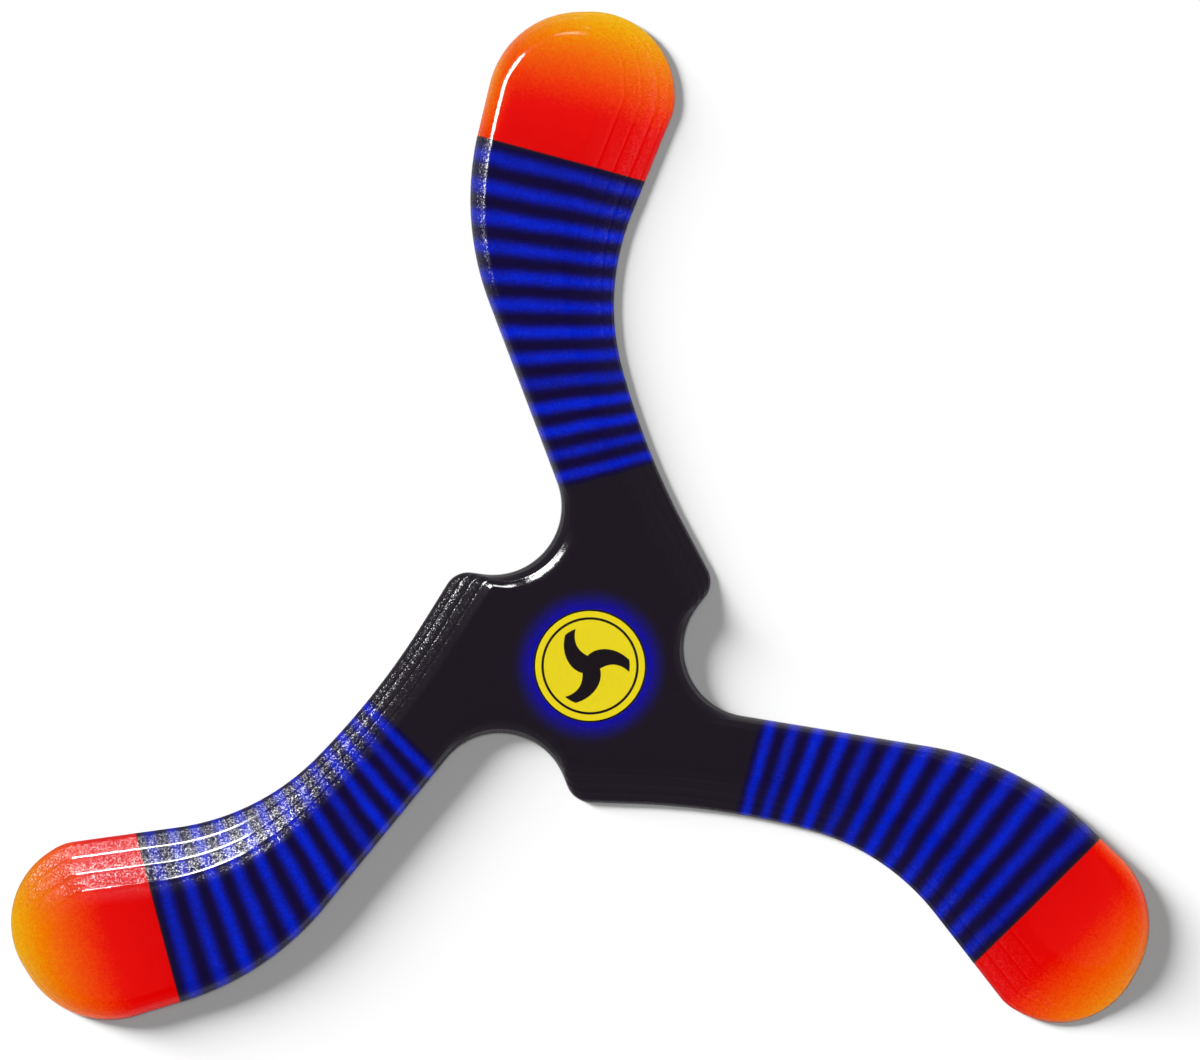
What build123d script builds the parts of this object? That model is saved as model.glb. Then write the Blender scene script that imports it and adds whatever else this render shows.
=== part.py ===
from build123d import *
import math
import os

# Three-blade throwing boomerang, milled from one sheet of five-ply birch plywood.
# The origin is the hub centre on the flat underside. +Z is up through the shaped face,
# +Y runs out along one blade, and the other two blades follow at equal angles.
# Seen from above it spins counter-clockwise, so each blade leads with its left edge when
# the blade points away from the viewer.

# ---- driving dimensions, millimetres and degrees ----
BLADES = 3
BLADE_TURN = 360 / BLADES

PLIES = 5
GLUE = 0.10  # cured glue film between two veneers
SHEET = 4.0  # finished thickness of the plywood
VENEER = (SHEET - (PLIES - 1) * GLUE) / PLIES
PITCH = VENEER + GLUE

LOWER_ROUND = 0.3  # how far the sanded lower corner draws in at the underside
LOWER_ROUND_TOP = 0.35  # height at which that rounding ends
EDGE_TOP = VENEER  # the thin outer edge stands this high, and the milling starts above it
UPPER_CUTS = (3.64, 3.86)  # extra stations in the top veneer, where the nose curves fastest

BADGE_CENTRE = (2.1, -3.4)  # stuck on by hand, a little off the hub centre
BADGE_RADIUS = 14.0
BADGE_THICKNESS = 0.12
BADGE_EDGE = 0.04  # softened upper corner of the badge

# ---- outline of one blade, drawn pointing along +Y ----
# Corners in order: hub corner, hub fillet, leading edge, tip, trailing edge, root.
# Each has its place, its radius at the outer edge and its radius at the crown, where the
# milling meets the flat. NOSE and TAPER belong to the run from that corner to the next:
# the widths of its rounded nose and of its straight taper, measured in from the edge.
CORNERS = (
    # x, y, edge radius, crown radius, nose, taper
    (-31.0, 20.0, 6.0, 0.6, 3.5, 0.0),  # hub corner, then the lip
    (4.0, 15.5, 17.0, 16.5, 4.0, 0.0),  # hub fillet, then the leading edge
    (-30.5, 107.0, 72.0, 67.0, 5.0, 0.0),  # widest point, then the outer leading edge
    (-18.5, 157.5, 23.0, 16.0, 4.5, 2.5),  # leading corner of the tip, then the end
    (22.0, 158.5, 20.5, 7.0, 1.5, 15.5),  # trailing corner of the tip, then its side
    (23.0, 134.5, 12.0, 2.0, 1.5, 15.5),  # heel, then the outer trailing edge
    (4.5, 89.0, 60.0, 70.0, 1.0, 9.0),  # hollow of the trailing edge, then the waist
    (16.0, 48.5, 190.0, 200.0, 1.0, 9.0),  # root bend, then the run to the next hub corner
)


def turned(point, degrees):
    """The point turned about the hub centre."""
    x, y = point
    cosine = math.cos(math.radians(degrees))
    sine = math.sin(math.radians(degrees))
    return (x * cosine - y * sine, x * sine + y * cosine)


def milled_share(height):
    """How far up the milling a height is: 0 at the top of the outer edge, 1 at the crown."""
    return max(0.0, (height - EDGE_TOP) / (SHEET - EDGE_TOP))


def inset(corner, height):
    """How far the run after a corner lies inside the outer edge at a height."""
    share = milled_share(height)
    nose, taper = corner[4:6]
    rounding = LOWER_ROUND * max(0.0, 1 - height / LOWER_ROUND_TOP) ** 2
    return rounding + nose * (1 - math.sqrt(1 - share**2)) + taper * share


def moved_line(start, end, distance):
    """A point and the direction of the line from start to end, moved right by a distance."""
    length = math.dist(start, end)
    across = (end[0] - start[0]) / length
    along = (end[1] - start[1]) / length
    return (start[0] + distance * along, start[1] - distance * across), (across, along)


def crossing(first, second):
    """Where two lines cross, each given by a point and a direction."""
    (ax, ay), (ux, uy) = first
    (bx, by), (vx, vy) = second
    reach = ((bx - ax) * vy - (by - ay) * vx) / (ux * vy - uy * vx)
    return (ax + reach * ux, ay + reach * uy)


def outline(height):
    """Corner points and fillet radii of the whole boomerang at a height."""
    corners = []
    for blade in range(BLADES):
        for corner in CORNERS:
            corners.append((turned(corner[0:2], -BLADE_TURN * blade), corner))
    runs = []
    for index, (place, corner) in enumerate(corners):
        next_place = corners[(index + 1) % len(corners)][0]
        runs.append(moved_line(place, next_place, inset(corner, height)))
    points = []
    radii = []
    for index, (place, corner) in enumerate(corners):
        before = corners[index - 1][1]
        full = (inset(before, SHEET) + inset(corner, SHEET)) / 2
        share = (inset(before, height) + inset(corner, height)) / 2 / full
        edge_radius, crown_radius = corner[2:4]
        points.append(crossing(runs[index - 1], runs[index]))
        radii.append(edge_radius + (crown_radius - edge_radius) * share)
    return points, radii


def stations(bottom, top):
    """Heights at which a layer's outline is drawn, from its bottom to its top."""
    inner = [cut for cut in (LOWER_ROUND_TOP, *UPPER_CUTS) if bottom < cut < top]
    return [bottom, *inner, top]


def layer(label, bottom, top):
    """One layer of the sheet, with the slice of the milled edges that falls in it."""
    with BuildPart() as sheet_layer:
        for height in stations(bottom, top):
            points, radii = outline(height)
            with BuildSketch(Plane.XY.offset(height)):
                with BuildLine():
                    FilletPolyline(*points, radius=radii, close=True)
                make_face()
        loft(ruled=True)
    sheet_layer.part.label = label
    export_step(sheet_layer.part, f"parts/{label}.step")


os.makedirs("parts", exist_ok=True)

# ---- five birch veneers, the grain of each across its neighbours ----
VENEERS = (
    "bottom_face_veneer",
    "lower_cross_veneer",
    "core_veneer",
    "upper_cross_veneer",
    "top_face_veneer",
)
for number, name in enumerate(VENEERS):
    layer(name, PITCH * number, PITCH * number + VENEER)

# ---- four glue films between them ----
GLUE_FILMS = (
    "bottom_glue_film",
    "lower_core_glue_film",
    "upper_core_glue_film",
    "top_glue_film",
)
for number, name in enumerate(GLUE_FILMS):
    layer(name, PITCH * number + VENEER, PITCH * (number + 1))

# ---- round vinyl badge stuck on the flat of the hub ----
with BuildPart() as centre_badge:
    with BuildSketch(Plane.XY.offset(SHEET)):
        with Locations(BADGE_CENTRE):
            Circle(BADGE_RADIUS)
    extrude(amount=BADGE_THICKNESS)
    rim = centre_badge.faces().sort_by(Axis.Z)[-1].edges()
    chamfer(rim, length=BADGE_EDGE)
centre_badge.part.label = "centre_badge"
export_step(centre_badge.part, "parts/centre_badge.step")
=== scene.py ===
import math

import bmesh
import bpy
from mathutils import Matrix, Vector


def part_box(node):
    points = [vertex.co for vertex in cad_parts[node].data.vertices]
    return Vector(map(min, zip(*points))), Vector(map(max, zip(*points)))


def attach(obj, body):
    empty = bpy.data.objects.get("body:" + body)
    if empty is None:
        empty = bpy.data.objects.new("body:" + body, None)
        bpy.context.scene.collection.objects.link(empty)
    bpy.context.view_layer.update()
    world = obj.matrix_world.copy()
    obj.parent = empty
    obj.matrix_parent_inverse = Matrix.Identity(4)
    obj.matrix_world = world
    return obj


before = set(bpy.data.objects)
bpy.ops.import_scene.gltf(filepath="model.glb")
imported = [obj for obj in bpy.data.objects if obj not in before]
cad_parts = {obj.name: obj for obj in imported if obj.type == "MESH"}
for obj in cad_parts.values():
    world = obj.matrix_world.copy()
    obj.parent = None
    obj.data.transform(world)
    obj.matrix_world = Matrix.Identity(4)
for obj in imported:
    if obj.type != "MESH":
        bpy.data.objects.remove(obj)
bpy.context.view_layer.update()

# ---- Veneers -------------------------------------------------------------------------------
# Five rotary-cut birch veneers, 0.72 mm each, the grain of each laid across its neighbours.
# They are hot-pressed into one board, sawn to the outline and milled to a wing section above.
# The flat underside is only sanded and sealed with a thin clear lacquer.
MM = 0.001
GRAIN_ALONG_X = ("bottom_face_veneer", "core_veneer", "top_face_veneer")
GRAIN_ALONG_Y = ("lower_cross_veneer", "upper_cross_veneer")
BIRCH_WARM = "BE9463"
BIRCH_PALE = "D9B98C"
FIBRE_DARK = "B98F5E"
FIBRE_PALE = "E2C69B"
BIRCH_PORE = "8A6238"
FIGURE = (83.3, 11.1)  # length and width of the broad figure, mm
FIBRE = (20.0, 0.625)  # of the fibre bundles, drawn coarser than the real 0.1 mm to show
PORE = (3.33, 0.3125)  # of the cells that hold one pore each
FIGURE_RINGS = 7.0  # how often the figure turns from pale to warm and back
FIBRE_SHARE = 0.45  # how much of the colour the fibres make
PORE_EDGE = (0.10, 0.22)  # radii between which a pore fades out, as shares of its cell
PORE_SHARE = 0.55  # how far a pore darkens the wood
SATIN = (0.26, 0.40)  # roughness of the lacquer between and over the fibres
RAISED_GRAIN = 0.03  # depth of the relief left by sanding, mm


def linear(colour):
    """A linear RGBA colour from an sRGB hex value."""
    channels = [int(colour[i:i + 2], 16) / 255 for i in (0, 2, 4)]
    return [c / 12.92 if c <= 0.04045 else ((c + 0.055) / 1.055) ** 2.4 for c in channels] + [1.0]


def add(tree, kind, links=(), stops=(), **settings):
    """Adds one node and returns it. Links go by name, or by number when they are in a row.

    A link is a value, a socket, or a node that stands for its first output in use. Stops are
    the places and hex colours of a colour ramp. The colours of a Mix node are inputs 6 and 7.
    """
    node = tree.nodes.new("ShaderNode" + kind)
    for name, value in settings.items():
        setattr(node, name, value)
    for _ in stops[2:]:
        node.color_ramp.elements.new(1.0)
    for place, (position, colour) in enumerate(stops):
        node.color_ramp.elements[place].position = position
        node.color_ramp.elements[place].color = linear(colour)
    named = links if isinstance(links, dict) else dict(enumerate(links))
    for name, value in named.items():
        if isinstance(value, bpy.types.Node):
            value = next(output for output in value.outputs if output.enabled)
        if isinstance(value, bpy.types.NodeSocket):
            tree.links.new(value, node.inputs[name])
        else:
            node.inputs[name].default_value = value
    return node


def new_material(name):
    """A material with an empty node tree, and that tree."""
    material = bpy.data.materials.new(name)
    material.use_nodes = True
    material.node_tree.nodes.clear()
    return material, material.node_tree


def finish_node(name, material):
    """Gives a carried-over piece its finish."""
    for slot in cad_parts[name].material_slots:
        slot.material = material


def birch_under_clear_lacquer(name, turn):
    """Rotary-cut birch, sanded to 240 grit and sealed with a thin clear lacquer.

    It shows broad pale and warm figure, fine fibres and short dark pores, all drawn out along
    the grain, with a satin sheen that lies in the lacquer.
    """
    material, tree = new_material(name)
    own = add(tree, "TexCoord").outputs["Object"]
    place = add(tree, "Mapping", {
        "Vector": own, "Rotation": (0, 0, turn), "Scale": (1 / MM, 1 / MM, 1 / MM)})
    drawn_out = {}
    for pattern, (length, width) in (("figure", FIGURE), ("fibre", FIBRE), ("pore", PORE)):
        drawn_out[pattern] = add(tree, "Mapping", {
            "Vector": place, "Scale": (1 / length, 1 / width, 1 / width)})
    figure = add(tree, "TexNoise", {
        "Vector": drawn_out["figure"], "Scale": 1.0, "Detail": 3.0, "Distortion": 1.4})
    rings = add(tree, "Math", (figure, FIGURE_RINGS), operation="MULTIPLY")
    rings = add(tree, "Math", (rings, 1.0), operation="PINGPONG")
    broad = add(tree, "ValToRGB", (rings,),
                stops=((0.0, BIRCH_WARM), (0.35, BIRCH_PALE), (1.0, BIRCH_PALE)))
    fibre = add(tree, "TexNoise", {
        "Vector": drawn_out["fibre"], "Scale": 1.0, "Detail": 4.0, "Roughness": 0.6})
    fine = add(tree, "ValToRGB", (fibre,), stops=((0.3, FIBRE_DARK), (0.62, FIBRE_PALE)))
    wood = add(tree, "Mix", {"Factor": FIBRE_SHARE, 6: broad, 7: fine}, data_type="RGBA")
    cell = add(tree, "TexVoronoi", {"Vector": drawn_out["pore"], "Scale": 1.0})
    pore = add(tree, "MapRange", {
        "Value": cell, "From Min": PORE_EDGE[0], "From Max": PORE_EDGE[1],
        "To Min": PORE_SHARE, "To Max": 0.0})
    wood = add(tree, "Mix", {"Factor": pore, 6: wood, 7: linear(BIRCH_PORE)}, data_type="RGBA")
    sheen = add(tree, "MapRange", {"Value": fibre, "To Min": SATIN[0], "To Max": SATIN[1]})
    relief = add(tree, "Math", (fibre, pore), operation="SUBTRACT")
    bump = add(tree, "Bump", {
        "Height": relief, "Strength": 0.35, "Distance": RAISED_GRAIN * MM})
    lacquered = add(tree, "BsdfPrincipled", {
        "Base Color": wood, "Roughness": sheen, "Normal": bump})
    add(tree, "OutputMaterial", {"Surface": lacquered})
    return material


birch_along = birch_under_clear_lacquer("birch_grain_along_x", 0.0)
birch_across = birch_under_clear_lacquer("birch_grain_along_y", math.radians(90))
for node_name in GRAIN_ALONG_X:
    finish_node(node_name, birch_along)
for node_name in GRAIN_ALONG_Y:
    finish_node(node_name, birch_across)

# ---- Glue films ----------------------------------------------------------------------------
# Four films of phenolic resin, one between each pair of veneers. They are laid as coated paper
# and set hard in the hot press.
RESIN_FILMS = ("bottom_glue_film", "lower_core_glue_film", "upper_core_glue_film", "top_glue_film")
RESIN_DARK = "3A1C0E"
RESIN_THIN = "5A3018"
RESIN_SHEEN = 0.45
SOAKED_PATCH = 1.67  # size of the patches where the resin soaked into the wood, mm


def phenolic_glue_film():
    """Hot-pressed phenolic resin: dark brown, hard, and mottled where it soaked in."""
    material, tree = new_material("phenolic_glue_film")
    own = add(tree, "TexCoord").outputs["Object"]
    mottle = add(tree, "TexNoise", {
        "Vector": own, "Scale": 1 / (SOAKED_PATCH * MM), "Detail": 3.0})
    brown = add(tree, "ValToRGB", (mottle,), stops=((0.3, RESIN_DARK), (0.7, RESIN_THIN)))
    hard_resin = add(tree, "BsdfPrincipled", {"Base Color": brown, "Roughness": RESIN_SHEEN})
    add(tree, "OutputMaterial", {"Surface": hard_resin})
    return material


resin = phenolic_glue_film()
for node_name in RESIN_FILMS:
    finish_node(node_name, resin)

# ---- Paint and lacquer coat ----------------------------------------------------------------
# Primer, sprayed colour and several flow coats of clear lacquer, about 0.1 mm in all, over the
# milled face and round the rim as far as the sanded lower corner. Each glue line under the
# milled slopes swells a little and shows through as a low ridge.
BLADES = 3
SHEET = (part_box("top_face_veneer")[1].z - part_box("bottom_face_veneer")[0].z) / MM
EDGE_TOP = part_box("bottom_face_veneer")[1].z / MM
GLUE_LINES = [sum(corner.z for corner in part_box(node)) / 2 / MM for node in RESIN_FILMS[1:]]
COAT_SIDE = 0.10  # thickness on the rim and the slopes, mm
COAT_TOP = 0.08  # thickness on the upper face, mm
COAT_START = 0.05  # the coat's lower edge stands this far above the underside, mm
LOWER_ROUND = 0.3  # how far the sanded lower corner draws in, mm
LOWER_ROUND_TOP = 0.35  # height at which that rounding ends, mm
LOWER_STATIONS = (COAT_START, 0.12, 0.22, LOWER_ROUND_TOP, 0.6)  # ring heights on the rim, mm
NOSE_STEPS = 16  # rings from the rim to the crown, closer together towards the crown
RIDGE_HEIGHT = 0.035  # how far a glue line lifts the coat, mm
RIDGE_FOOT = 0.10  # how far below the glue line its ridge begins, mm
RIDGE_BACK = 0.06  # how far above the glue line its ridge has ended, mm
RIDGE_SHARES = (0.0, 0.4, 0.8, 1.0)  # rings from the foot of a ridge to its top
CLEAR_BELOW = 0.15  # no other ring stands this near below a glue line, mm
CLEAR_ABOVE = 0.11  # or this near above it, mm
FLAT_MARGIN = 0.4  # width of the strip of faces just inside the crown's edge, mm

# Corners of one blade pointing along +Y, in millimetres, as the wood is cut. Steps are closer
# where an outline bends than where it runs straight.
CORNERS = (
    # x, y, radius at the rim, at the crown, nose and taper of the next run, arc and run steps
    (-31.0, 20.0, 6.0, 0.6, 3.5, 0.0, 10, 3),  # hub corner, then the lip
    (4.0, 15.5, 17.0, 16.5, 4.0, 0.0, 34, 31),  # hub fillet, then the leading edge
    (-30.5, 107.0, 72.0, 67.0, 5.0, 0.0, 40, 10),  # widest point, then the outer leading edge
    (-18.5, 157.5, 23.0, 16.0, 4.5, 2.5, 30, 3),  # leading corner of the tip, then the end
    (22.0, 158.5, 20.5, 7.0, 1.5, 15.5, 36, 2),  # trailing corner of the tip, then its side
    (23.0, 134.5, 12.0, 2.0, 1.5, 15.5, 8, 15),  # heel, then the outer trailing edge
    (4.5, 89.0, 60.0, 70.0, 1.0, 9.0, 36, 2),  # hollow of the trailing edge, then the waist
    (16.0, 48.5, 190.0, 200.0, 1.0, 9.0, 34, 9),  # root bend, then on to the next hub corner
)


def milled_inset(corner, height):
    """How far the run after a corner lies inside the rim at a height in the wood."""
    nose, taper = corner[4:6]
    share = min(1.0, max(0.0, (height - EDGE_TOP) / (SHEET - EDGE_TOP)))
    rounding = LOWER_ROUND * max(0.0, 1 - height / LOWER_ROUND_TOP) ** 2
    return rounding + nose * (1 - math.sqrt(1 - share ** 2)) + taper * share


def rounded_corners(height):
    """Place, arriving direction, turn, radius and steps of each of the coat's corners at a
    height in the wood."""
    places = []
    for blade in range(BLADES):
        turn = -math.tau / BLADES * blade
        for corner in CORNERS:
            x, y = corner[0:2]
            place = Vector((x * math.cos(turn) - y * math.sin(turn),
                            x * math.sin(turn) + y * math.cos(turn)))
            places.append((place, corner))
    runs = []
    for (place, corner), (next_place, _) in zip(places, places[1:] + places[:1]):
        along = (next_place - place).normalized()
        inward = Vector((along.y, -along.x))
        runs.append((place + inward * (milled_inset(corner, height) - COAT_SIDE), along))
    found = []
    for index, (_, corner) in enumerate(places):
        rim_radius, crown_radius = corner[2:4]
        (start, before), (end, after) = runs[index - 1], runs[index]
        turn = math.atan2(before.cross(after), before.dot(after))
        reach = (end - start).cross(after) / before.cross(after)
        previous = places[index - 1][1]
        full = milled_inset(previous, SHEET) + milled_inset(corner, SHEET)
        share = (milled_inset(previous, height) + milled_inset(corner, height)) / full
        outward = -1 if turn > 0 else 1
        radius = rim_radius + (crown_radius - rim_radius) * share + outward * COAT_SIDE
        found.append((start + before * reach, before, turn, radius, corner[6:8]))
    return found


def add_ring(shell, height, level):
    """Adds a closed ring of edges round the whole boomerang and returns them: a point spun
    round each corner, then stepped along the run to the next."""
    ring = bmesh.new()
    corners = rounded_corners(height)
    starts = [place - before * (radius * math.tan(abs(turn) / 2))
              for place, before, turn, radius, _ in corners]
    first = point = ring.verts.new((*starts[0] * MM, level * MM))
    for index, (start, corner) in enumerate(zip(starts, corners)):
        _, before, turn, radius, (arc_steps, run_steps) = corner
        centre = start + Vector((-before.y, before.x)) * math.copysign(radius, turn)
        arc = bmesh.ops.spin(
            ring, geom=[point], cent=(*centre * MM, level * MM), axis=(0, 0, 1),
            angle=turn, steps=arc_steps)
        point = arc["geom_last"][0]
        following = starts[(index + 1) % len(starts)]
        stride = (following * MM - point.co.xy) / run_steps
        last_run = index == len(corners) - 1
        run = bmesh.ops.spin(
            ring, geom=[point], dvec=(*stride, 0), axis=(0, 0, 1), steps=run_steps - last_run)
        point = run["geom_last"][0]
    ring.edges.new((point, first))
    ring_mesh = bpy.data.meshes.new("ring")
    ring.to_mesh(ring_mesh)
    ring.free()
    known = len(shell.edges)
    shell.from_mesh(ring_mesh)
    bpy.data.meshes.remove(ring_mesh)
    shell.edges.ensure_lookup_table()
    return shell.edges[known:]


def coat_stations():
    """Wood heights and lifts of the coat's rings, closer where the nose and ridges curve."""
    stations = [(height, 0.0) for height in LOWER_STATIONS]
    for step in range(NOSE_STEPS + 1):
        height = EDGE_TOP + (SHEET - EDGE_TOP) * math.sin(math.pi / 2 * step / NOSE_STEPS)
        if all(not -CLEAR_BELOW < height - line < CLEAR_ABOVE for line in GLUE_LINES):
            stations.append((height, 0.0))
    for line in GLUE_LINES:
        for share in RIDGE_SHARES:
            stations.append((line - RIDGE_FOOT * (1 - share), RIDGE_HEIGHT * share))
        stations.append((line + RIDGE_BACK, 0.0))
    return sorted(stations)


shell = bmesh.new()
rings = []
for height, lift in coat_stations():
    cover = COAT_TOP * min(1.0, max(0.0, (height - LOWER_ROUND_TOP) / (EDGE_TOP - LOWER_ROUND_TOP)))
    rings.append(add_ring(shell, height, height + cover + lift))
for lower, upper in zip(rings, rings[1:]):
    bmesh.ops.bridge_loops(shell, edges=lower + upper)
for face in shell.faces:
    face.smooth = True
bmesh.ops.contextual_create(shell, geom=rings[0])
flat = bmesh.ops.contextual_create(shell, geom=rings[-1])["faces"]
bmesh.ops.inset_individual(shell, faces=flat, thickness=FLAT_MARGIN * MM, use_even_offset=True)
bmesh.ops.recalc_face_normals(shell, faces=shell.faces)
coat_mesh = bpy.data.meshes.new("painted_coat")
shell.to_mesh(coat_mesh)
shell.free()
coat = bpy.data.objects.new("painted_coat", coat_mesh)
bpy.context.scene.collection.objects.link(coat)

# The artwork repeats on each blade about its own centre, which was set down a little off the
# centre of the wood. Places on it are millimetres across and along a blade from that centre.
ART_CENTRE = (2.1, -3.4)
SECTOR_START = 113  # a blade's sector of the artwork runs clockwise from this bearing, degrees
HUB_BLACK = "211B24"
GAP_PURPLE = "150D38"
BAND_BLUE = "0022D4"
GLOW_BLUE = "0E08B4"
TIP_FADE = ((0.0, "E80001"), (0.30, "F00401"), (0.40, "F82E02"), (0.50, "FA4A02"),
            (0.60, "FD6402"), (0.70, "FC7F01"), (0.80, "FC9E01"), (0.90, "FCB802"),
            (1.0, "FCD008"))
BAND_COUNT = 13
FIRST_BAND = 48.3  # where the middle of the first blue band lies along the blade
BANDS_PER_MM = 0.18276  # at the first band
BANDS_WIDEN = 0.0002  # how much the bands per millimetre drop over each millimetre, halved
FAN_TILT = 0.58  # slope of a line through the centre; lines further out turn the other way
FAN_SPREAD = 0.0069  # how fast the lines fan apart to the leading side, per millimetre
WAVER = 8.33  # length of the hand's waver along a stroke
WAVER_DEPTH = 0.8  # full width of that waver
STROKE_SHARPNESS = 1.7  # above 1 the dark gaps are wider than the blue strokes
STROKE_LEAST = 0.6  # strength of the faintest stroke
FIRST_EDGE = (-0.62, -0.35)  # where the paint of the bands begins, in band numbers
LAST_EDGE = (-0.62, -0.4)  # where it ends, counted from the band after the last
MIST = 0.556  # paint droplets, drawn far coarser than the real 0.05 mm so that they show
MIST_CONTRAST = 1.8
MIST_LEVEL = -0.2
CLOUD = 6.25  # patches where the spray lay thicker
CLOUD_CONTRAST = 0.6
GLOW = (13.0, 21.0)  # radii between which the glow round the badge dies away
GLOW_FALL = 1.8  # how steeply it does
TIP_START = 123.3  # where the masked edge of the tip lies along the blade
MASK_SOFTNESS = 0.25  # half the width of that edge
TIP_RANGE = (125.0, 165.0)  # where the fade runs from red to yellow
TIP_LEAN = 0.26  # the fade leans over towards the trailing side
TIP_BOW = 0.004  # and bows round the end, per millimetre
OVERSPRAY = 14.0  # depth of the speckled edge between two tip colours
RIM_SHARE = 18.0  # how much further along the fade the leading rim is
LEADING_RIM = (-18.0, -27.0)  # where the blade's flat turns into its leading rim, across
FLAT_EDGE = 0.15  # the slopes end this far below the top of the wood
CROWN_RAW = 0.12  # how raw the fibres are at the crown, where 1 is fully raw
RIM_RAW = 0.88  # how much rawer they are at the rim
FLOWED_OUT = 0.9  # how much of that the thick lacquer on the tip's leading rim hides
CUT_GRAIN = 0.9  # how much rawer the rest of the leading rim is
SANDED_ROOT = (75.0, 45.0)  # the slopes get smoother over this stretch towards the hub
SANDED_SHARE = 0.45  # and lose this much of their rawness
RIDGE_CLEAN = 0.7  # the ridges are smooth over this share of their foot, each side
GLOSS = 0.07  # roughness of the lacquer where it flowed out
RAW_ROUGHNESS = 0.22  # what raw fibres add to it
LACQUER_IOR = 1.5
SPECK = 0.20  # width of a raised fibre tip, drawn twice as coarse as the real one to show
SPECK_TILT = 0.40  # how far its small faces lean
PEEL = 2.86  # width of the orange peel's waves
PEEL_DEPTH = 0.02  # height of those waves
NIB_SPACING = 7.14  # distance between dust nibs
NIB_RADIUS = 0.04  # as a share of that distance
NIB_HEIGHT = 0.03


def sprayed_paint_under_gloss_lacquer():
    """Airbrushed colour under thick clear lacquer.

    A black hub glows blue round the badge, thirteen soft blue strokes fan over each blade, and
    each tip fades from red to yellow behind a masked edge. The lacquer gives sharp highlights
    and a slight orange peel. On the milled slopes the raised fibre tips sparkle and spread the
    highlight to a milky band, and a few dust nibs show on the flats.
    """
    material, tree = new_material("sprayed_paint_under_gloss_lacquer")
    own = add(tree, "TexCoord").outputs["Object"]
    place = add(tree, "Mapping", {"Vector": own, "Scale": (1 / MM, 1 / MM, 1 / MM)})
    centred = add(tree, "VectorMath", (place, (*ART_CENTRE, 0)), operation="SUBTRACT")

    # Turns every blade's sector onto the blade that points along +Y.
    centre_split = add(tree, "SeparateXYZ", (centred,))
    bearing = add(tree, "Math", (centre_split.outputs["Y"], centre_split.outputs["X"]),
                  operation="ARCTAN2")
    sector = add(tree, "Math", (math.radians(SECTOR_START), bearing), operation="SUBTRACT")
    sector = add(tree, "Math", (sector, math.tau / BLADES), operation="DIVIDE")
    blade = add(tree, "Math", (sector,), operation="FLOOR")
    turn = add(tree, "Math", (blade, math.tau / BLADES), operation="MULTIPLY")
    on_blade = add(tree, "VectorRotate", {"Vector": centred, "Angle": turn},
                   rotation_type="Z_AXIS")
    blade_split = add(tree, "SeparateXYZ", (on_blade,))
    across = blade_split.outputs["X"]
    along = blade_split.outputs["Y"]

    # Lines that fan apart, and the number of the band at each of them.
    fan_top = add(tree, "Math", (across, FAN_TILT), operation="MULTIPLY")
    fan_top = add(tree, "Math", (along, fan_top), operation="SUBTRACT")
    fan_base = add(tree, "Math", (across, FAN_SPREAD), operation="MULTIPLY")
    fan_base = add(tree, "Math", (1.0, fan_base), operation="SUBTRACT")
    fanned = add(tree, "Math", (fan_top, fan_base), operation="DIVIDE")
    waver = add(tree, "TexNoise", {"Vector": centred, "Scale": 1 / WAVER, "Detail": 1.0})
    waver = add(tree, "Math", (waver, WAVER_DEPTH, -WAVER_DEPTH / 2), operation="MULTIPLY_ADD")
    from_first = add(tree, "Math", (fanned, waver), operation="ADD")
    from_first = add(tree, "Math", (from_first, FIRST_BAND), operation="SUBTRACT")
    even = add(tree, "Math", (from_first, BANDS_PER_MM), operation="MULTIPLY")
    squared = add(tree, "Math", (from_first, from_first), operation="MULTIPLY")
    band = add(tree, "Math", (squared, -BANDS_WIDEN, even), operation="MULTIPLY_ADD")

    # Soft strokes of uneven strength, grainy and cloudy as spray is.
    wave = add(tree, "Math", (band, math.tau), operation="MULTIPLY")
    wave = add(tree, "Math", (wave,), operation="COSINE")
    stroke = add(tree, "Math", (wave, 0.5, 0.5), operation="MULTIPLY_ADD")
    stroke = add(tree, "Math", (stroke, STROKE_SHARPNESS), operation="POWER")
    number = add(tree, "Math", (band,), operation="ROUND")
    strength = add(tree, "TexWhiteNoise", {"W": number}, noise_dimensions="1D")
    strength = add(tree, "Math", (strength, 1 - STROKE_LEAST, STROKE_LEAST),
                   operation="MULTIPLY_ADD")
    droplets = add(tree, "TexNoise", {
        "Vector": centred, "Scale": 1 / MIST, "Detail": 2.0, "Roughness": 0.7})
    clouds = add(tree, "TexNoise", {"Vector": centred, "Scale": 1 / CLOUD, "Detail": 2.0})
    mist = add(tree, "Math", (droplets, MIST_CONTRAST, MIST_LEVEL), operation="MULTIPLY_ADD")
    mist = add(tree, "Math", (clouds, CLOUD_CONTRAST, mist), operation="MULTIPLY_ADD")
    blue = add(tree, "Math", (stroke, strength), operation="MULTIPLY")
    blue = add(tree, "Math", (blue, mist), operation="MULTIPLY")
    opened = add(tree, "MapRange", {
        "Value": band, "From Min": FIRST_EDGE[0], "From Max": FIRST_EDGE[1]},
        interpolation_type="SMOOTHSTEP")
    closed = add(tree, "MapRange", {
        "Value": band, "From Min": BAND_COUNT + LAST_EDGE[0], "From Max": BAND_COUNT + LAST_EDGE[1],
        "To Min": 1.0, "To Max": 0.0}, interpolation_type="SMOOTHSTEP")
    banded = add(tree, "Math", (opened, closed), operation="MULTIPLY")
    painted = add(tree, "Mix", {"Factor": banded, 6: linear(HUB_BLACK), 7: linear(GAP_PURPLE)},
                  data_type="RGBA")
    blue = add(tree, "Math", (blue, banded), operation="MULTIPLY", use_clamp=True)
    painted = add(tree, "Mix", {"Factor": blue, 6: painted, 7: linear(BAND_BLUE)},
                  data_type="RGBA")

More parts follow.
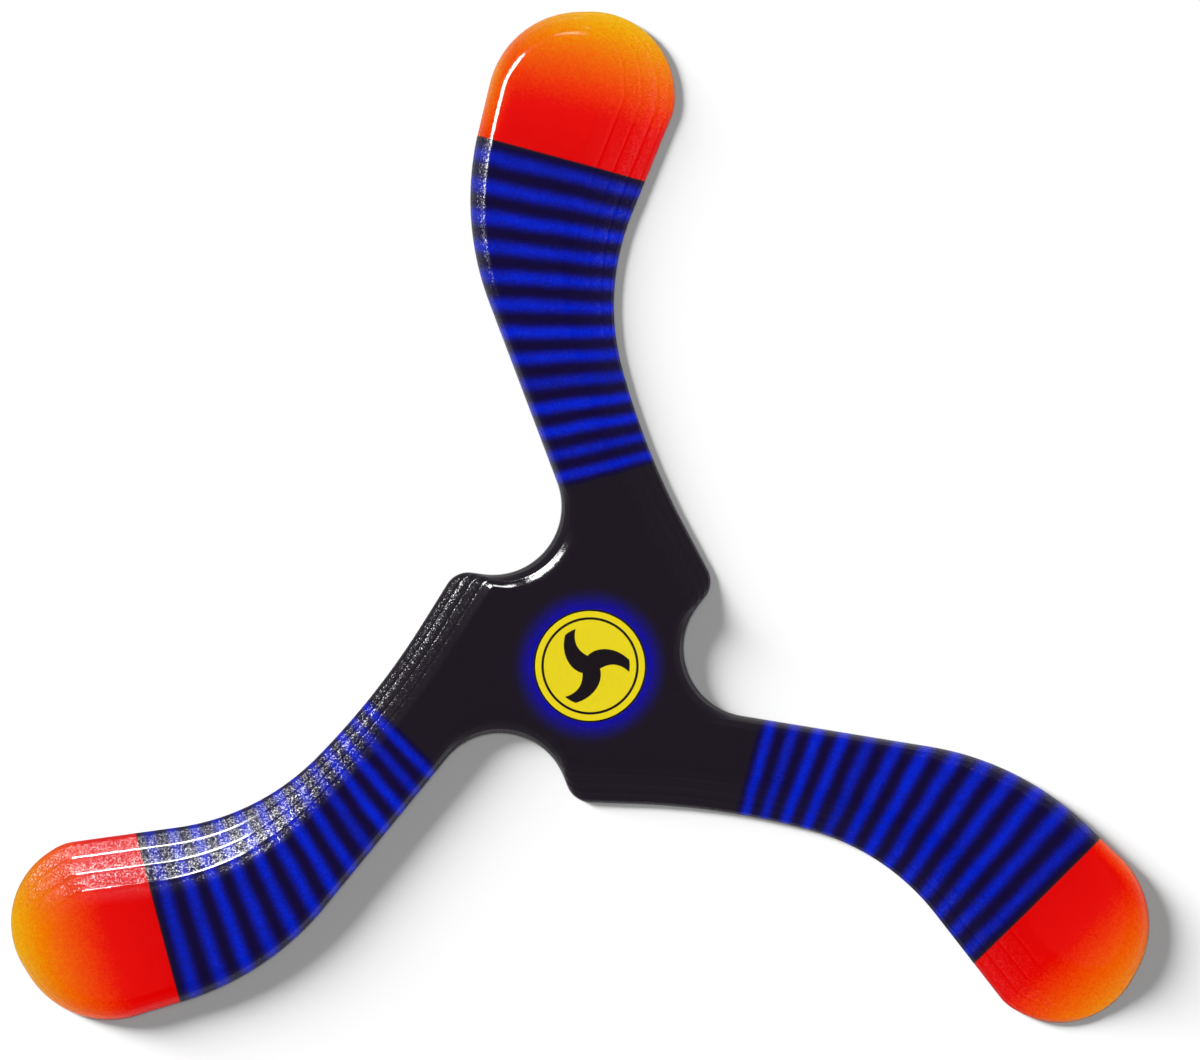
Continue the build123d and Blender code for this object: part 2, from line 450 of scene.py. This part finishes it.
    # The glow round the badge.
    reach = add(tree, "VectorMath", (centred,), operation="LENGTH")
    glow = add(tree, "MapRange", {
        "Value": reach, "From Min": GLOW[0], "From Max": GLOW[1], "To Min": 1.0, "To Max": 0.0},
        interpolation_type="SMOOTHSTEP")
    glow = add(tree, "Math", (glow, GLOW_FALL), operation="POWER")
    glow = add(tree, "Math", (glow, mist), operation="MULTIPLY", use_clamp=True)
    painted = add(tree, "Mix", {"Factor": glow, 6: painted, 7: linear(GLOW_BLUE)},
                  data_type="RGBA")

    # The tip, yellow round the end and the leading rim, red at the masked edge.
    fade = add(tree, "Math", (across, TIP_LEAN, along), operation="MULTIPLY_ADD")
    bow = add(tree, "Math", (across, across), operation="MULTIPLY")
    fade = add(tree, "Math", (bow, TIP_BOW, fade), operation="MULTIPLY_ADD")
    speckle = add(tree, "Math", (droplets, OVERSPRAY, -OVERSPRAY / 2), operation="MULTIPLY_ADD")
    fade = add(tree, "Math", (fade, speckle), operation="ADD")
    leading = add(tree, "MapRange", {
        "Value": across, "From Min": LEADING_RIM[0], "From Max": LEADING_RIM[1]},
        interpolation_type="SMOOTHSTEP")
    fade = add(tree, "Math", (leading, RIM_SHARE, fade), operation="MULTIPLY_ADD")
    fade = add(tree, "MapRange", {
        "Value": fade, "From Min": TIP_RANGE[0], "From Max": TIP_RANGE[1]})
    tip_colour = add(tree, "ValToRGB", (fade,), stops=TIP_FADE)
    tip = add(tree, "MapRange", {
        "Value": fanned, "From Min": TIP_START - MASK_SOFTNESS,
        "From Max": TIP_START + MASK_SOFTNESS}, interpolation_type="SMOOTHSTEP")
    painted = add(tree, "Mix", {"Factor": tip, 6: painted, 7: tip_colour}, data_type="RGBA")

    # How raw the fibres stand: most low on the slopes and where the leading rim cuts the grain,
    # less near the hub, hardly on the tip's leading rim, and not on the flat or the ridges.
    height = add(tree, "SeparateXYZ", (place,)).outputs["Z"]
    milled = add(tree, "MapRange", {
        "Value": height, "From Min": SHEET - FLAT_EDGE, "From Max": SHEET + COAT_TOP,
        "To Min": 1.0, "To Max": 0.0}, interpolation_type="SMOOTHSTEP")
    depth = add(tree, "MapRange", {
        "Value": height, "From Min": EDGE_TOP, "From Max": SHEET, "To Min": 1.0, "To Max": 0.0})
    raw = add(tree, "Math", (depth, RIM_RAW, CROWN_RAW), operation="MULTIPLY_ADD")
    flowed_out = add(tree, "Math", (tip, leading), operation="MULTIPLY")
    flowed_out = add(tree, "Math", (flowed_out, -FLOWED_OUT, 1.0), operation="MULTIPLY_ADD")
    raw = add(tree, "Math", (raw, flowed_out), operation="MULTIPLY")
    near_hub = add(tree, "MapRange", {
        "Value": along, "From Min": SANDED_ROOT[0], "From Max": SANDED_ROOT[1]},
        interpolation_type="SMOOTHSTEP")
    sanded_finer = add(tree, "Math", (near_hub, -SANDED_SHARE, 1.0), operation="MULTIPLY_ADD")
    raw = add(tree, "Math", (raw, sanded_finer), operation="MULTIPLY")
    cut_grain = add(tree, "Math", (leading, tip), operation="SUBTRACT", use_clamp=True)
    raw = add(tree, "Math", (cut_grain, CUT_GRAIN, raw), operation="MULTIPLY_ADD")
    raw = add(tree, "Math", (raw, milled), operation="MULTIPLY")
    for line in GLUE_LINES:
        ridge_middle = line + COAT_TOP + (RIDGE_HEIGHT - RIDGE_FOOT) / 2
        aside = add(tree, "Math", (height, ridge_middle), operation="SUBTRACT")
        aside = add(tree, "Math", (aside,), operation="ABSOLUTE")
        off_ridge = add(tree, "Math", (aside, RIDGE_FOOT * RIDGE_CLEAN), operation="GREATER_THAN")
        raw = add(tree, "Math", (raw, off_ridge), operation="MULTIPLY")

    # Orange peel and dust nibs as relief, then the small leaning faces of the fibre tips.
    peel = add(tree, "TexNoise", {"Vector": place, "Scale": 1 / PEEL, "Detail": 1.0})
    peel = add(tree, "Math", (peel, PEEL_DEPTH), operation="MULTIPLY")
    nib = add(tree, "TexVoronoi", {"Vector": place, "Scale": 1 / NIB_SPACING})
    nib = add(tree, "MapRange", {
        "Value": nib, "From Min": 0.0, "From Max": NIB_RADIUS, "To Min": 1.0, "To Max": 0.0},
        interpolation_type="SMOOTHSTEP")
    relief = add(tree, "Math", (nib, NIB_HEIGHT, peel), operation="MULTIPLY_ADD")
    bump = add(tree, "Bump", {"Height": relief, "Strength": 1.0, "Distance": MM})
    specks = add(tree, "TexVoronoi", {"Vector": place, "Scale": 1 / SPECK}).outputs["Color"]
    lean = add(tree, "VectorMath", (specks, (0.5, 0.5, 0.5)), operation="SUBTRACT")
    tilt = add(tree, "Math", (raw, SPECK_TILT), operation="MULTIPLY")
    lean = add(tree, "VectorMath", {0: lean, "Scale": tilt}, operation="SCALE")
    facet = add(tree, "VectorMath", (bump, lean), operation="ADD")
    facet = add(tree, "VectorMath", (facet,), operation="NORMALIZE")
    rough = add(tree, "Math", (raw, RAW_ROUGHNESS, GLOSS), operation="MULTIPLY_ADD")
    lacquered = add(tree, "BsdfPrincipled", {
        "Base Color": painted, "Roughness": rough, "IOR": LACQUER_IOR, "Normal": facet})
    add(tree, "OutputMaterial", {"Surface": lacquered})
    return material


coat_mesh.materials.append(sprayed_paint_under_gloss_lacquer())
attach(coat, "root")

# ---- Centre badge --------------------------------------------------------------------------
# A round disc of printed vinyl, 0.12 mm thick, stuck on the flat of the hub and lacquered over.
# It is yellow with a thin dark ring and three curved strokes that show the way it spins.
badge_low, badge_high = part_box("centre_badge")
BADGE_CENTRE = (badge_low + badge_high) / 2
BADGE_RADIUS = (badge_high.x - badge_low.x) / 2
SIGN_YELLOW = "F2DE0C"
YELLOW_THIN = "EFD90A"
PRINT_BLACK = "1D171B"
VINYL_GLOSS = 0.12
ARMS = 3
ARM_SWEEP = 1.5  # how far an arm bends round from the middle to the edge, radians
ARM_REACH = 0.70  # this and the next five are shares of the badge's radius
ARM_WIDTH = 0.22  # half the width at the middle
ARM_TAPER = 0.16
RING_RADIUS = 0.835
RING_WIDTH = 0.022  # half the width
RIM_START = 0.965
PRINT_GRAIN = 0.467  # the screen's ink grain, drawn coarser than the real 0.1 mm to show, mm
FILM_WAVE = 2.8  # width of the waves in the lacquer over the film, mm
FILM_WAVE_DEPTH = 0.02  # mm


def printed_vinyl():
    """Screen-printed vinyl under gloss lacquer: flat strong yellow and black, crisp edges."""
    material, tree = new_material("printed_vinyl")
    own = add(tree, "TexCoord").outputs["Object"]
    centred = add(tree, "VectorMath", (own, BADGE_CENTRE), operation="SUBTRACT")
    sized = add(tree, "VectorMath", {0: centred, "Scale": 1 / BADGE_RADIUS}, operation="SCALE")
    split = add(tree, "SeparateXYZ", (sized,))
    x = split.outputs["X"]
    y = split.outputs["Y"]
    flat_place = add(tree, "CombineXYZ", (x, y))
    reach = add(tree, "VectorMath", (flat_place,), operation="LENGTH")
    bearing = add(tree, "Math", (y, x), operation="ARCTAN2")
    swept = add(tree, "Math", (reach, ARM_SWEEP, bearing), operation="MULTIPLY_ADD")
    turn = add(tree, "Math", (swept, math.tau / ARMS), operation="DIVIDE")
    turn = add(tree, "Math", (turn,), operation="FRACT")
    aside = add(tree, "Math", (turn, 0.5), operation="SUBTRACT")
    aside = add(tree, "Math", (aside,), operation="ABSOLUTE")
    aside = add(tree, "Math", (aside, math.tau / ARMS), operation="MULTIPLY")
    aside = add(tree, "Math", (aside, reach), operation="MULTIPLY")
    width = add(tree, "Math", (reach, -ARM_TAPER, ARM_WIDTH), operation="MULTIPLY_ADD")
    arm = add(tree, "Math", (aside, width), operation="LESS_THAN")
    inside = add(tree, "Math", (reach, ARM_REACH), operation="LESS_THAN")
    arm = add(tree, "Math", (arm, inside), operation="MULTIPLY")
    ring = add(tree, "Math", (reach, RING_RADIUS, RING_WIDTH), operation="COMPARE")
    rim = add(tree, "Math", (reach, RIM_START), operation="GREATER_THAN")
    ink = add(tree, "Math", (arm, ring), operation="MAXIMUM")
    ink = add(tree, "Math", (ink, rim), operation="MAXIMUM")
    grain = add(tree, "TexNoise", {
        "Vector": sized, "Scale": BADGE_RADIUS / (PRINT_GRAIN * MM), "Detail": 2.0})
    yellow = add(tree, "ValToRGB", (grain,), stops=((0.3, YELLOW_THIN), (0.7, SIGN_YELLOW)))
    printed = add(tree, "Mix", {"Factor": ink, 6: yellow, 7: linear(PRINT_BLACK)},
                  data_type="RGBA")
    waves = add(tree, "TexNoise", {
        "Vector": sized, "Scale": BADGE_RADIUS / (FILM_WAVE * MM), "Detail": 1.0})
    bump = add(tree, "Bump", {
        "Height": waves, "Strength": 0.3, "Distance": FILM_WAVE_DEPTH * MM})
    vinyl = add(tree, "BsdfPrincipled", {
        "Base Color": printed, "Roughness": VINYL_GLOSS, "Normal": bump})
    add(tree, "OutputMaterial", {"Surface": vinyl})
    return material


finish_node("centre_badge", printed_vinyl())

# ---- Table ---------------------------------------------------------------------------------
# A plain pale table top in matt paint, on which the boomerang lies flat. It isn't part of the
# object, and it reaches far past the edges of the view.
TABLE_GREY = "959595"
TABLE_HALF_WIDTH = 20.0
MATT = 0.9

table_mesh = bpy.data.meshes.new("floor")
top = bmesh.new()
bmesh.ops.create_grid(top, x_segments=1, y_segments=1, size=TABLE_HALF_WIDTH)
top.to_mesh(table_mesh)
top.free()
table = bpy.data.objects.new("floor", table_mesh)
table_only = bpy.data.collections.new("floor_only")
bpy.context.scene.collection.children.link(table_only)
table_only.objects.link(table)
table_paint, table_tree = new_material("pale_table")
matt_paint = add(table_tree, "BsdfPrincipled", {
    "Base Color": linear(TABLE_GREY), "Roughness": MATT, "Specular IOR Level": 0.0})
add(table_tree, "OutputMaterial", {"Surface": matt_paint})
table_mesh.materials.append(table_paint)

# ---- Lights and room -----------------------------------------------------------------------
# A softbox up and to the left and a narrow one behind the hub give the gloss. An overhead fill
# leaves no glare, and a low soft light reaches only the table and throws the shadow.
SHADOW_LIGHT_FROM = (-0.88, 0.475, 0.215)
SHADOW_LIGHT_WIDTH = math.radians(18)
SHADOW_LIGHT_STRENGTH = 38.0
ROOM = ((0.0, "F4F4F4"), (0.10, "D8D8D8"), (0.30, "8C8C8C"), (0.65, "5A5A5A"), (0.90, "101010"))


def panel(name, place, width, depth, power, glossy, spread=math.pi):
    """A rectangular softbox aimed at the hub, which gives either only gloss or only fill."""
    light = bpy.data.lights.new(name, "AREA")
    light.shape = "RECTANGLE"
    light.size = width
    light.size_y = depth
    light.energy = power
    light.spread = spread
    holder = bpy.data.objects.new(name, light)
    bpy.context.scene.collection.objects.link(holder)
    holder.location = place
    holder.rotation_euler = (-Vector(place)).to_track_quat("-Z", "Y").to_euler()
    holder.visible_glossy = glossy
    holder.visible_diffuse = not glossy
    holder.visible_camera = False


panel("near_softbox", place=(-0.18, 0.233, 0.46), width=0.14, depth=0.09, power=2.0, glossy=True)
panel("lip_softbox", place=(0.0, 0.31, 0.50), width=0.10, depth=0.20, power=0.016, glossy=True,
      spread=math.radians(15))
panel("overhead_fill", place=(0.0, 0.2, 2.2), width=1.6, depth=1.6, power=46, glossy=False)
low_sun = bpy.data.lights.new("low_table_light", "SUN")
low_sun.energy = SHADOW_LIGHT_STRENGTH
low_sun.angle = SHADOW_LIGHT_WIDTH
low_holder = bpy.data.objects.new("low_table_light", low_sun)
bpy.context.scene.collection.objects.link(low_holder)
low_holder.rotation_euler = (-Vector(SHADOW_LIGHT_FROM)).to_track_quat("-Z", "Y").to_euler()
low_holder.light_linking.receiver_collection = table_only

world = bpy.data.worlds.new("studio_room")
bpy.context.scene.world = world
world.use_nodes = True
room = world.node_tree
room.nodes.clear()
direction = add(room, "TexCoord").outputs["Generated"]
upward = add(room, "SeparateXYZ", (direction,)).outputs["Z"]
walls = add(room, "ValToRGB", (upward,), stops=ROOM)
background = add(room, "Background", {"Color": walls, "Strength": 1.0})
add(room, "OutputWorld", {"Surface": background})

# ---- Camera --------------------------------------------------------------------------------
# It looks straight down on the boomerang from two metres, with a lens long enough that the
# blades show in their true shape.
CAMERA_HEIGHT = 2.0
VIEW_CENTRE = (0.00456, 0.0301)
VIEW_WIDTH = 0.2958
FAR_ENOUGH = 50.0

camera_data = bpy.data.cameras.new("camera")
camera_data.sensor_width = 36.0
camera_data.lens = camera_data.sensor_width * CAMERA_HEIGHT / VIEW_WIDTH
camera_data.dof.use_dof = False
camera_data.clip_end = FAR_ENOUGH
camera = bpy.data.objects.new("camera", camera_data)
bpy.context.scene.collection.objects.link(camera)
camera.location = (*VIEW_CENTRE, CAMERA_HEIGHT + SHEET * MM)
bpy.context.scene.camera = camera
bpy.context.scene.view_settings.view_transform = "Standard"
